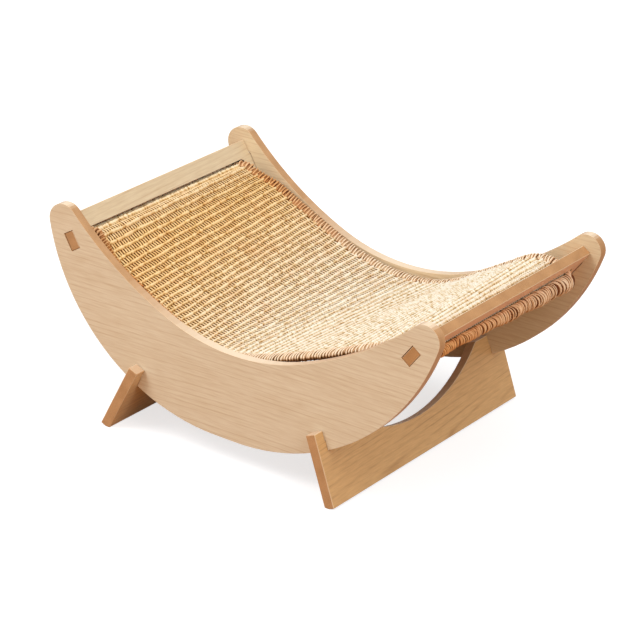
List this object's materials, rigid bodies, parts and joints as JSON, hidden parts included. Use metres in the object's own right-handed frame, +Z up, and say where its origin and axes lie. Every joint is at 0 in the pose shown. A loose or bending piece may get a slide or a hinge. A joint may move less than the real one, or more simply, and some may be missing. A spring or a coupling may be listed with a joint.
{
  "type": "cat scratcher bed",
  "caption": "Low cat lounger and scratcher: crescent side panels on leaning arched legs carry slotted cross rails, with a woven sisal mat slung between them to lie on and claw.",
  "frame": {"origin": "on the floor, under the centre of the bed's bounding box", "axes": "+X along the bed from the back rail to the front rail, +Y across it from the near side panel to the far one, +Z up"},
  "size_m": [0.5118, 0.393, 0.239],
  "materials": {
    "maple_laminate_board": "satin",
    "woven_sisal": "matte",
    "binding_yarn": "matte"
  },
  "bodies": {
    "root": {"near_side_panel": "maple_laminate_board", "far_side_panel": "maple_laminate_board", "back_rail": "maple_laminate_board", "front_rail": "maple_laminate_board", "back_leg": "maple_laminate_board", "front_leg": "maple_laminate_board", "sisal_mat": "woven_sisal", "near_binding": "binding_yarn", "far_binding": "binding_yarn", "back_hem": "binding_yarn", "front_hem": "binding_yarn"}
  },
  "joints": []
}
